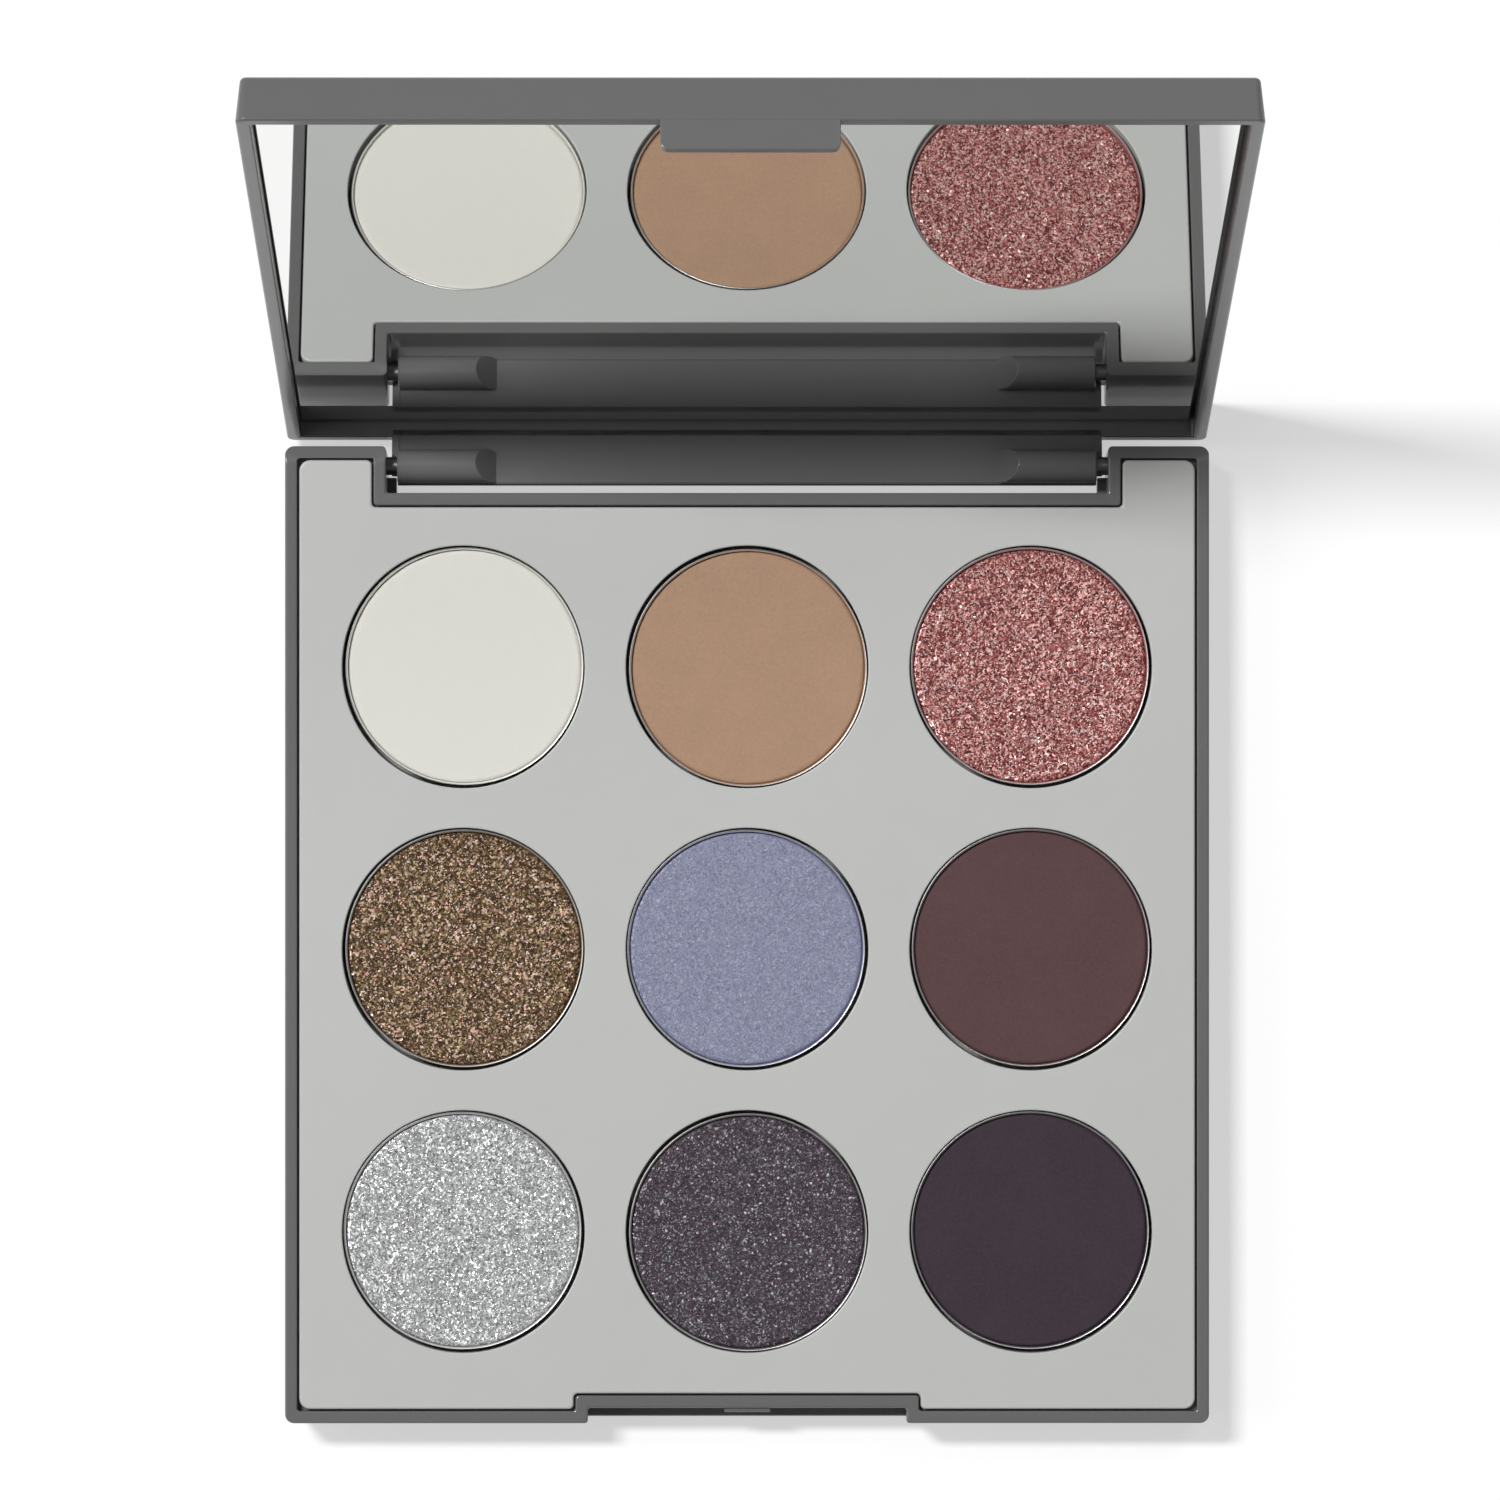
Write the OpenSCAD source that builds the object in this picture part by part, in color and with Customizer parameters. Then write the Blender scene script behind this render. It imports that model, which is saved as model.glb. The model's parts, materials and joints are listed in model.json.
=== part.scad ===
// Nine-pan eyeshadow palette: a shallow moulded shell with a tray of round
// metal pans, and a mirrored lid that turns on two pins at the back.
// Origin: middle of the shell's footprint, on the surface it stands on.
// +X to the right, +Y towards the hinge, +Z up. Millimetres.

/* [Overall] */
// Width of the shell and the lid
body_w = 101; // [98:0.5:125]
// Depth of the shell and the lid, front to back
body_d = 106.8; // [104.5:0.1:132]
// Height of the shell
base_h = 8.5; // [8:0.1:11]
// Thickness of the lid
lid_h = 4.75; // [4.2:0.05:6]
// Draft angle of the outer walls
draft = 5; // [2:0.5:6]
// Corner radius in plan
corner_r = 1; // [0.8:0.1:2]
// Chamfer on the bottom edge and on the lid's top edge
edge_chamfer = 0.4; // [0.2:0.1:0.6]

/* [Lid position] */
// Angle of the lid from closed
open_angle = 105; // [0:1:115]

/* [Shell] */
// Thickness of the side walls at the rim
wall = 1.35; // [1.2:0.05:1.6]
// Thickness of the shell's floor
floor_t = 1.2; // [0.9:0.1:1.6]
// Width of the ledge that the tray sits on
seat_w = 0.6; // [0.4:0.1:1]
// Radius of the four posts under the tray
post_r = 2.5; // [2:0.1:3.5]

/* [Tray] */
// Gap between the tray and the shell's wall
tray_gap = 0.2; // [0.1:0.05:0.4]
// How far the tray's face lies below the rim
tray_drop = 0.25; // [0.1:0.05:0.5]
// Thickness of the tray's plate
tray_t = 1.2; // [1:0.1:1.6]
// Wall and floor of a well
well_t = 0.8; // [0.6:0.1:1.1]
// Radius of the pegs that fix the tray to the posts
peg_r = 0.9; // [0.7:0.1:1.2]
// Length of a peg
peg_len = 2.5; // [1.5:0.5:3]

/* [Pans] */
// Pans in a row, and rows
pan_n = 3; // [3]
// Outer radius of a pan, a standard 26 mm size
pan_r = 13; // [10.5:0.5:13.5]
// Height of a pan
pan_h = 3.6; // [2.8:0.1:4]
// Sheet thickness of a pan
pan_t = 0.25; // [0.2:0.05:0.4]
// Radius of the bend between a pan's floor and wall
pan_bend = 0.8; // [0.5:0.1:1.2]
// Gap round a pan in its well
pan_gap = 0.25; // [0.15:0.05:0.5]
// How far a pan's rim lies below the tray's face
pan_drop = 0.35; // [0.1:0.05:0.6]
// Distance between columns of pans
pitch_x = 31; // [29.5:0.1:32]
// Distance between rows of pans
pitch_y = 30.85; // [29.5:0.05:32]
// How far the middle row lies in front of the shell's middle
rows_front = 1.6; // [1:0.1:3]
// How far the pressed powder lies below the pan's rim
powder_drop = 0.3; // [0.1:0.05:0.8]
// Bevel round the pressed powder
powder_bevel = 0.35; // [0.2:0.05:0.6]
// Thickness of the glue under a pan
glue_t = 0.15; // [0.1:0.05:0.3]
// Radius of a glue dot
glue_r = 4; // [2:0.5:6]

/* [Hinge] */
// Distance of the hinge axis from the back edge
axis_in = 2.1; // [2:0.1:2.4]
// Depth of the hinge axis below the rim
axis_down = 3.45; // [3.4:0.05:3.8]
// Radius of a hinge pin
pin_r = 1; // [0.8:0.05:1]
// Length of a hinge pin
pin_len = 12; // [9:0.5:14]
// Length of the pin inside its knuckle
pin_in_lid = 6.4; // [4:0.2:8]
// Radial gap of the pin in the shell
pin_gap = 0.05; // [0.02:0.01:0.1]
// Radial press of the pin in the lid
pin_press = 0.01; // [0:0.005:0.02]
// Radius of a knuckle
knuckle_r = 1.85; // [1.7:0.05:1.9]
// Length of a knuckle
knuckle_len = 10.8; // [9:0.1:14]
// How much a knuckle's inner end slopes
knuckle_slope = 2.25; // [1:0.05:3]
// Depth of the recess in the shell's back edge
notch_d = 5.15; // [5:0.05:6]
// Distance from the shell's side to that recess
notch_side = 11.05; // [10:0.05:14]
// Gap between the hinge web and the recess's side
web_gap = 0.48; // [0.3:0.02:0.8]
// Gap between the knuckle and the recess's side
knuckle_gap = 1.15; // [0.8:0.05:2]
// Length of the boss that holds the pin in the shell
ear_len = 5.2; // [4:0.1:6]
// Width of the gusset in each inner corner of the recess
gusset_w = 0.95; // [0.5:0.05:1]
// Depth of that gusset, front to back
gusset_d = 1.85; // [1:0.05:2]
// Height of the cut in the web's lower corners
web_cut = 1.15; // [0.5:0.05:1.2]

/* [Lid] */
// Gap between the closed lid and the shell's rim
lid_gap = 0.1; // [0.05:0.05:0.3]
// Thickness of the lid's side walls at the rim
lid_wall = 1.45; // [1.2:0.05:1.8]
// Depth of the mirror's face below the lid's rim
mirror_drop = 1.8; // [1:0.05:2.2]
// Thickness of the mirror glass
mirror_t = 1.2; // [1:0.1:1.3]
// Gap in front of, behind and to the right of the mirror
mirror_gap = 0.5; // [0.1:0.05:0.6]
// Gap to the left of the mirror, which sits over to that side
mirror_gap_left = 0.1; // [0.1:0.05:0.6]
// Thickness of the mirror's tape
tape_t = 0.15; // [0.1:0.05:0.2]
// Width of a strip of tape
tape_w = 14; // [8:1:25]

/* [Front catch] */
// Width of the thumb recess in the shell's front
thumb_w = 34.8; // [28:0.2:50]
// Depth of the thumb recess into the front wall
thumb_d = 1.7; // [1.4:0.1:2]
// Height of the thumb recess below the rim
thumb_h = 5; // [4.2:0.1:6]
// Width of the lid's front tab
tab_w = 17.7; // [12:0.1:24]
// Length of the tab below the lid's rim
tab_len = 3; // [2:0.1:3.8]
// Thickness of the tab
tab_t = 1; // [0.8:0.05:1]
// Corner radius of the tab
tab_r = 0.8; // [0.4:0.1:1.2]
// Width of the catch on the shell
catch_w = 5; // [3:0.1:8]
// How far the catch stands out
catch_out = 0.5; // [0.3:0.05:0.5]
// Depth of the catch below the rim
catch_down = 0.5; // [0.4:0.1:2.5]
// Height of the catch
catch_h = 0.9; // [0.5:0.1:1.2]

/* [Label] */
// Width of the blank label under the shell
label_w = 62; // [40:1:80]
// Depth of the label, front to back
label_d = 26; // [15:1:30]
// Thickness of the label
label_t = 0.1; // [0.05:0.05:0.2]
// Depth of the recess that the label lies in
label_recess = 0.2; // [0.15:0.05:0.3]
// Distance from the middle of the shell to the middle of the label
label_back = 22; // [20:1:30]

/* [Hidden] */
$fn = 64;
eps = 0.5;                          // overrun of a cut past the face it opens

shell_grey = [0.42, 0.42, 0.42];
tray_grey = [0.75, 0.76, 0.75];

half_w = body_w / 2;
half_d = body_d / 2;
axis_y = half_d - axis_in;
axis_z = base_h - axis_down;

notch_x = half_w - notch_side;
notch_y = half_d - notch_d;
thumb_x = thumb_w / 2;
thumb_y = half_d - thumb_d;

tray_top = base_h - tray_drop;
seat_z = tray_top - tray_t;
pan_top = tray_top - pan_drop;
pan_z = pan_top - pan_h;
well_floor_z = pan_z - glue_t;
well_r = pan_r + pan_gap;
peg_gap = 0.05;
peg_drop = 0.3;                     // spare depth under a peg
powder_top = pan_top - powder_drop;

lid_z = base_h + lid_gap;
lid_top = lid_z + lid_h;
mirror_z = lid_z + mirror_drop;
tape_z = mirror_z + mirror_t;
panel_z = tape_z + tape_t;
web_x = notch_x - web_gap;
knuckle_x = notch_x - knuckle_gap;
web_inner = axis_in - lid_wall;     // inner face of the web, from the axis
web_bottom = -knuckle_r;            // lower edge of the web, from the axis

// How far each pan lies off the middle of its well, as a share of the gap
pan_lean = [
    [0.5, 0.3], [0.4, -0.4], [-0.4, 0.4],
    [0.4, 0.4], [-0.5, 0.3], [0, 0.6],
    [-0.4, 0.4], [0.4, -0.4], [-0.3, 0.5]
];

function column(i) = i % pan_n;
function row(i) = floor(i / pan_n);
function well_at(i) = [
    (column(i) - 1) * pitch_x,
    (1 - row(i)) * pitch_y - rows_front
];
function pan_at(i) = well_at(i) + pan_lean[i] * pan_gap;
function draft_in(h) = h * tan(draft);

// Block whose walls lean in towards z = 0, with the full size at z = h
module drafted_block(h) {
    low = draft_in(h);
    hull() {
        for (x = [-1, 1], y = [-1, 1]) {
            translate([x * (half_w - corner_r), y * (half_d - corner_r), 0]) {
                translate([0, 0, h - 0.01])
                    cylinder(h = 0.01, r = corner_r, $fn = 32);
                translate([-x * low, -y * low, edge_chamfer])
                    cylinder(h = 0.01, r = corner_r, $fn = 32);
                translate([-x * low, -y * low, 0])
                    cylinder(h = 0.01, r = corner_r - edge_chamfer, $fn = 32);
            }
        }
    }
}

// Plan of the shell, taken in by inset from its outer wall all round
module plan(inset) {
    x0 = half_w - inset;
    y0 = half_d - inset;
    nx = notch_x + inset;
    ny = notch_y - inset;
    tx = thumb_x + inset;
    ty = thumb_y - inset;
    polygon([
        [-x0, -y0], [-tx, -y0], [-tx, -ty], [tx, -ty], [tx, -y0], [x0, -y0],
        [x0, y0], [nx, y0], [nx, ny], [-nx, ny], [-nx, y0], [-x0, y0]
    ]);
}

// Children at both ends of the hinge
module both_sides() {
    children();
    mirror([1, 0, 0]) children();
}

// Cylinder along X, from x and len long, about the hinge axis
module on_axis(x, len, r) {
    translate([x, axis_y, axis_z]) rotate([0, 90, 0]) cylinder(h = len, r = r);
}

// Children at the four gaps between the wells
module at_posts() {
    for (x = [-0.5, 0.5], y = [-0.5, 0.5])
        translate([x * pitch_x, y * pitch_y - rows_front, 0]) children();
}

// Solid blocks beside the back recess that hold the pins
module ear_blocks() {
    both_sides()
        translate([notch_x, axis_y - knuckle_r, 0])
            cube([ear_len, knuckle_r + axis_in, seat_z]);
}

// Space inside the shell, above and below the tray's ledge
module shell_cavity() {
    translate([0, 0, seat_z])
        linear_extrude(base_h - seat_z + eps) plan(wall);
    difference() {
        translate([0, 0, floor_t])
            linear_extrude(base_h - floor_t) plan(wall + seat_w);
        ear_blocks();
        at_posts() cylinder(h = seat_z, r = post_r);
    }
}

// Back edges of the shell, rounded about the hinge so that the lid's rim passes
module lid_swing_cut() {
    both_sides() difference() {
        translate([notch_x, axis_y, axis_z + knuckle_r])
            cube([notch_side + eps, axis_in + eps, axis_down]);
        on_axis(notch_x - eps, notch_side + 3 * eps, axis_down - lid_gap);
    }
}

// Ridge that the lid's tab snaps over, in the thumb recess
module front_catch() {
    z = base_h - catch_down - catch_h;
    translate([-catch_w / 2, -thumb_y, z])
        rotate([90, 0, 90]) linear_extrude(catch_w)
            polygon([
                [0.1, 0], [0, 0],
                [-catch_out, catch_h * 0.4], [-catch_out, catch_h * 0.6],
                [0, catch_h], [0.1, catch_h]
            ]);
}

module base_shell() color(shell_grey) {
    difference() {
        drafted_block(base_h);
        shell_cavity();
        translate([-notch_x, notch_y, -eps])
            cube([2 * notch_x, notch_d + eps, base_h + 2 * eps]);
        translate([-thumb_x, -half_d - eps, base_h - thumb_h])
            cube([thumb_w, thumb_d + eps, thumb_h + eps]);
        lid_swing_cut();
        both_sides()
            on_axis(notch_x - eps, pin_len - pin_in_lid - knuckle_gap + 2 * eps, pin_r + pin_gap);
        at_posts()
            translate([0, 0, seat_z - peg_len - peg_drop])
                cylinder(h = peg_len + peg_drop + eps, r = peg_r + peg_gap);
        translate([-label_w / 2, label_back - label_d / 2, -eps])
            cube([label_w, label_d, label_recess + eps]);
    }
    front_catch();
    // gussets low in the inner corners of the recess, clear of the turning web
    both_sides()
        translate([notch_x - gusset_w, notch_y - 0.1, 0.3])
            cube([gusset_w + 0.1, gusset_d + 0.1, axis_z - 2.9]);
}

module pan_tray() color(tray_grey) {
    difference() {
        union() {
            translate([0, 0, seat_z])
                linear_extrude(tray_t) plan(wall + tray_gap);
            for (i = [0 : pan_n * pan_n - 1])
                translate([well_at(i)[0], well_at(i)[1], well_floor_z - well_t])
                    cylinder(h = seat_z - well_floor_z + well_t + 0.1, r = well_r + well_t, $fn = 96);
        }
        for (i = [0 : pan_n * pan_n - 1])
            translate([well_at(i)[0], well_at(i)[1], well_floor_z])
                cylinder(h = base_h, r = well_r, $fn = 96);
    }
    at_posts()
        translate([0, 0, seat_z - peg_len])
            cylinder(h = peg_len + 0.1, r = peg_r);
}

// Drawn metal pan number i, an open cup with a rounded bend at its floor
module pan(i) color("silver") {
    q = pan_r - pan_bend;
    translate([pan_at(i)[0], pan_at(i)[1], pan_z])
        rotate_extrude($fn = 96) difference() {
            union() {
                square([q, pan_h]);
                translate([0, pan_bend]) square([pan_r, pan_h - pan_bend]);
                translate([q, pan_bend]) intersection() {
                    circle(r = pan_bend, $fn = 32);
                    translate([0, -pan_bend]) square(pan_bend);
                }
            }
            translate([0, pan_t]) square([pan_r - pan_bend, pan_h]);
            translate([0, pan_bend]) square([pan_r - pan_t, pan_h]);
            translate([q, pan_bend]) circle(r = pan_bend - pan_t, $fn = 32);
        }
}

// Powder pressed into pan number i, with a bevel round its face
module powder(i) {
    r = pan_r - pan_t;
    q = pan_r - pan_bend;
    h = powder_top - pan_z;
    translate([pan_at(i)[0], pan_at(i)[1], pan_z])
        rotate_extrude($fn = 96)
            union() {
                polygon([
                    [0, pan_t], [q, pan_t], [q, pan_bend], [r, pan_bend],
                    [r, h - powder_bevel], [r - powder_bevel, h], [0, h]
                ]);
                translate([q, pan_bend]) intersection() {
                    circle(r = pan_bend - pan_t, $fn = 32);
                    translate([0, -pan_bend]) square(pan_bend);
                }
            }
}

module pan_ivory() pan(0);
module pan_tan() pan(1);
module pan_rose() pan(2);
module pan_bronze() pan(3);
module pan_periwinkle() pan(4);
module pan_cocoa() pan(5);
module pan_silver() pan(6);
module pan_charcoal() pan(7);
module pan_aubergine() pan(8);

module powder_ivory() color([0.86, 0.86, 0.82]) powder(0);
module powder_tan() color([0.66, 0.54, 0.44]) powder(1);
module powder_rose() color([0.62, 0.42, 0.42]) powder(2);
module powder_bronze() color([0.42, 0.33, 0.25]) powder(3);
module powder_periwinkle() color([0.56, 0.57, 0.69]) powder(4);
module powder_cocoa() color([0.35, 0.26, 0.27]) powder(5);
module powder_silver() color([0.69, 0.69, 0.70]) powder(6);
module powder_charcoal() color([0.30, 0.27, 0.31]) powder(7);
module powder_aubergine() color([0.24, 0.20, 0.23]) powder(8);

// One dot of glue between each pan and the floor of its well
module glue_dots() color([0.9, 0.88, 0.8])
    for (i = [0 : pan_n * pan_n - 1])
        translate([pan_at(i)[0], pan_at(i)[1], well_floor_z])
            cylinder(h = glue_t, r = glue_r);

module bottom_label() color("white")
    translate([-label_w / 2 + 0.2, label_back - label_d / 2 + 0.2, label_recess - label_t])
        cube([label_w - 0.4, label_d - 0.4, label_t]);

// Turns what is made in the closed position about the hinge to its open place
module opened()
    translate([0, axis_y, axis_z])
        rotate([-open_angle, 0, 0])
            translate([0, -axis_y, -axis_z]) children();

// Hinge web: the lid's back wall carried down into the shell's recess
module hinge_web() {
    rim = lid_z - axis_z;
    outer = axis_in - draft_in(axis_down - web_bottom);
    translate([-web_x, axis_y, axis_z])
        rotate([90, 0, 90]) linear_extrude(2 * web_x)
            polygon([
                [web_inner, web_bottom], [outer, web_bottom],
                [axis_in, rim - lid_gap], [axis_in, rim],
                [axis_in - 0.2, rim + 0.5], [web_inner, rim + 0.5]
            ]);
}

// Knuckle on the right, its inner end sloped towards the web
module knuckle() {
    x0 = knuckle_x - knuckle_len;
    difference() {
        on_axis(x0, knuckle_len, knuckle_r);
        translate([x0, axis_y, axis_z - 2 * knuckle_r])
            linear_extrude(4 * knuckle_r)
                polygon([
                    [-eps, web_inner], [0, web_inner],
                    [knuckle_slope, -knuckle_r], [knuckle_slope, -2 * knuckle_r],
                    [-eps, -2 * knuckle_r]
                ]);
    }
}

module front_tab() {
    translate([0, -half_d + 0.05 + tab_t, lid_z])
        rotate([90, 0, 0]) linear_extrude(tab_t) {
            translate([-tab_w / 2, tab_r - tab_len])
                square([tab_w, tab_len - tab_r + 0.6]);
            translate([-tab_w / 2 + tab_r, -tab_len])
                square([tab_w - 2 * tab_r, tab_len]);
            for (x = [-1, 1])
                translate([x * (tab_w / 2 - tab_r), tab_r - tab_len])
                    circle(r = tab_r, $fn = 32);
        }
}

module lid_shell() color(shell_grey) opened() difference() {
    union() {
        difference() {
            translate([0, 0, lid_top]) mirror([0, 0, 1]) drafted_block(lid_h);
            translate([lid_wall - half_w, lid_wall - half_d, lid_z - eps])
                cube([body_w - 2 * lid_wall, body_d - 2 * lid_wall, panel_z - lid_z + eps]);
        }
        hinge_web();
        both_sides() knuckle();
        front_tab();
    }
    both_sides() {
        on_axis(knuckle_x - pin_in_lid, pin_in_lid + eps, pin_r - pin_press);
        translate([knuckle_x, axis_y, axis_z + web_bottom - eps])
            cube([knuckle_gap, axis_in + eps, web_cut + eps]);
    }
}

module mirror_plate() color([0.85, 0.88, 0.9]) opened()
    translate([-half_w + lid_wall + mirror_gap_left, -half_d + lid_wall + mirror_gap, mirror_z])
        cube([body_w - 2 * lid_wall - mirror_gap - mirror_gap_left,
            body_d - 2 * (lid_wall + mirror_gap), mirror_t]);

// Three strips of double-sided tape between the mirror and the lid
module mirror_tape() color([0.2, 0.2, 0.2]) opened()
    for (i = [-1, 0, 1])
        translate([i * (half_w - lid_wall - tape_w) * 0.9 - tape_w / 2, 8 - half_d, tape_z])
            cube([tape_w, body_d - 16, tape_t]);

module hinge_pin() color([0.6, 0.6, 0.62])
    opened() on_axis(knuckle_x - pin_in_lid, pin_len, pin_r);

module hinge_pin_left() mirror([1, 0, 0]) hinge_pin();
module hinge_pin_right() hinge_pin();

base_shell();
pan_tray();
pan_ivory();
pan_tan();
pan_rose();
pan_bronze();
pan_periwinkle();
pan_cocoa();
pan_silver();
pan_charcoal();
pan_aubergine();
powder_ivory();
powder_tan();
powder_rose();
powder_bronze();
powder_periwinkle();
powder_cocoa();
powder_silver();
powder_charcoal();
powder_aubergine();
glue_dots();
bottom_label();
lid_shell();
mirror_plate();  // mirror
mirror_tape();
hinge_pin_left();
hinge_pin_right();
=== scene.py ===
import json

import bmesh
import bpy
import numpy as np
from mathutils import Matrix, Vector


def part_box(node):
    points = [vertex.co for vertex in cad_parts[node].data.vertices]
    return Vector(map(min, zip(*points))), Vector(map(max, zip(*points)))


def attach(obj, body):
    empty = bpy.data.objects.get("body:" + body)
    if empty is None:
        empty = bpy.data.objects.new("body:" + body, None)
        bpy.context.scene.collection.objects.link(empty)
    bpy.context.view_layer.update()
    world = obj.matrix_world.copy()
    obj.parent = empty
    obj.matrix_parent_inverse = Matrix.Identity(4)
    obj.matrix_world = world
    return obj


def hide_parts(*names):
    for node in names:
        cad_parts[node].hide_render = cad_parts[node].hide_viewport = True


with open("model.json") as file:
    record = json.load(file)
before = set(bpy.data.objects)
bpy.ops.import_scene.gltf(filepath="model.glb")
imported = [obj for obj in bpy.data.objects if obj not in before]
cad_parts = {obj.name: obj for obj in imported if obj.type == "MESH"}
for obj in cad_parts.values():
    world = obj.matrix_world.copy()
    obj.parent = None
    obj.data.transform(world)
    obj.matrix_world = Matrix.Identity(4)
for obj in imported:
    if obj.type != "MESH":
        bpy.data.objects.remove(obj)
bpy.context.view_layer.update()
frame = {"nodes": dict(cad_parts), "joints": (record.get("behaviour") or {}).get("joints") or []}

# ---------------------------------------------------------------------------------------
# Base shell
# One injection moulding in mid grey ABS, spark-eroded to an even satin. Its side walls lean
# in towards the table so that it leaves the mould, every edge keeps a small moulded radius,
# and the back edges are rounded about the hinge so that the lid's rim can turn past them.

MM = 0.001
shell_low, shell_high = (np.array(corner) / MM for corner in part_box("base_shell"))
half_w = shell_high[0]
half_d = -shell_low[1]
rim_z = shell_high[2]
draft = np.tan(np.radians(5))

hinge = frame["joints"][0]
axis_y, axis_z = hinge["pos_m"][1] / MM, hinge["pos_m"][2] / MM
axis_down = rim_z - axis_z

wall = 1.35
corner_steps = 6                                                # strips round each corner
notch_x, notch_y = half_w - 11.05, half_d - 5.15                # hinge recess at the back
thumb_x, thumb_depth, thumb_floor = 17.4, 1.7, rim_z - 5        # thumb recess in front
seat_z, seat_w, floor_z = 7.05, 0.6, 1.2                        # tray's ledge, shell's floor
label_low, label_high = (np.array(corner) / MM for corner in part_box("bottom_label"))
label_y = (label_low[1] + label_high[1]) / 2


def rounded(corners, radii, turns=None):
    """Closed outlines through square corners, each turned by a quarter circle.

    At a corner c, reached along the unit step a and left along b, the point at angle t is
    c + r (b - a) + r (a sin t - b cos t): it starts r before the corner and ends r after
    it. Where a and b are the same, the points run straight through the corner. a and b come
    from the outline turns where it is given, and otherwise from the corners themselves.
    """
    guide = corners if turns is None else turns
    a = guide - np.roll(guide, 1, axis=-2)
    a = a / np.linalg.norm(a, axis=-1, keepdims=True)
    b = np.roll(a, -1, axis=-2)
    t = np.linspace(0, np.pi / 2, corner_steps + 1)[:, None]
    a, b = a[..., None, :], b[..., None, :]
    points = corners[..., None, :] + radii[..., None, None] * (
        (b - a) + a * np.sin(t) - b * np.cos(t)
    )
    return points.reshape(*corners.shape[:-2], -1, 2)


def skin(rows, columns):
    """Quads between neighbouring closed rings of points, numbered ring by ring."""
    r, c = np.meshgrid(np.arange(rows - 1), np.arange(columns))
    r, c = r.ravel() * columns, c.ravel()
    right = (c + 1) % columns
    return np.stack([r + c, r + right, r + columns + right, r + columns + c], axis=1)


class Surface:
    """Points in millimetres and faces, gathered part by part and then made one mesh."""

    def __init__(self):
        self.points, self.faces, self.flat, self.slots, self.count = [], [], [], [], 0

    def add(self, points, faces, slot=0):
        """Adds points, an array of any shape whose last side is x, y, z, and smooth faces."""
        points = points.reshape(-1, 3)
        first = self.count
        self.points.append(points)
        self.count += len(points)
        self.fill(faces + first, flat=False, slot=slot)
        return first + np.arange(len(points))

    def fill(self, faces, flat=True, slot=0):
        """Adds faces over points that are already here."""
        self.faces += [[int(i) for i in f] for f in faces]
        self.flat += [flat] * len(faces)
        self.slots += [slot] * len(faces)

    def rings(self, rings, first_cap=True, last_cap=True, slot=0):
        """Adds a stack of closed rings, an array of rings by points, with end faces."""
        rows, columns = rings.shape[:2]
        ids = self.add(rings, skin(rows, columns), slot=slot).reshape(rows, columns)
        if first_cap:
            self.fill([ids[0][::-1]], slot=slot)
        if last_cap:
            self.fill([ids[-1]], slot=slot)
        return ids

    def piece(self, name, body, slot, nodes, finishes, crease=32):
        """Makes the mesh in metres, closes its seams and hangs it on its CAD body."""
        mesh = bpy.data.meshes.new(name)
        mesh.from_pydata(np.concatenate(self.points) * MM, [], self.faces)
        mesh.polygons.foreach_set("use_smooth", ~np.array(self.flat))
        mesh.polygons.foreach_set("material_index", np.array(self.slots, np.int32))
        work = bmesh.new()
        work.from_mesh(mesh)
        bmesh.ops.remove_doubles(work, verts=work.verts, dist=2e-7)
        bmesh.ops.dissolve_degenerate(work, edges=work.edges, dist=1e-8)
        bmesh.ops.recalc_face_normals(work, faces=work.faces)
        work.to_mesh(mesh)
        work.free()
        mesh.set_sharp_from_angle(angle=np.radians(crease))
        made = bpy.data.objects.new(name, mesh)
        bpy.context.scene.collection.objects.link(made)
        for finish in finishes:
            mesh.materials.append(finish)
        weigh = made.modifiers.new("even_flats", "WEIGHTED_NORMAL")
        weigh.keep_sharp = True
        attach(made, body)
        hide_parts(*nodes)
        return made


def strips(edge, stops, rows):
    """Flat faces that fill a plate round its holes, seen from the side where edge turns left.

    The plate is cut along one straight line through each row of holes. edge holds the ids
    round the outline. stops gives, for each line from the front, where on edge it ends on
    the right and on the left. rows gives each line's holes from the right to the left, each
    a loop of ids that turns left and starts at its rightmost point.
    """

    def under(holes):
        """The lower half of each hole, from its right to its left, hole after hole."""
        return [i for h in holes for i in [h[0], *h[:len(h) // 2 - 1:-1]]]

    def over(holes):
        """The upper half of each hole, from its left to its right, last hole first."""
        return [i for h in holes[::-1] for i in h[len(h) // 2::-1]]

    edge = list(edge)
    rights, lefts = zip(*stops)
    faces = [edge[lefts[0]:] + edge[:rights[0] + 1] + under(rows[0])]
    for k in range(1, len(rows)):
        faces.append(
            edge[rights[k - 1]:rights[k] + 1] + under(rows[k])
            + edge[lefts[k]:lefts[k - 1] + 1] + over(rows[k - 1])
        )
    faces.append(edge[rights[-1]:lefts[-1] + 1] + over(rows[-1]))
    return faces


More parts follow.
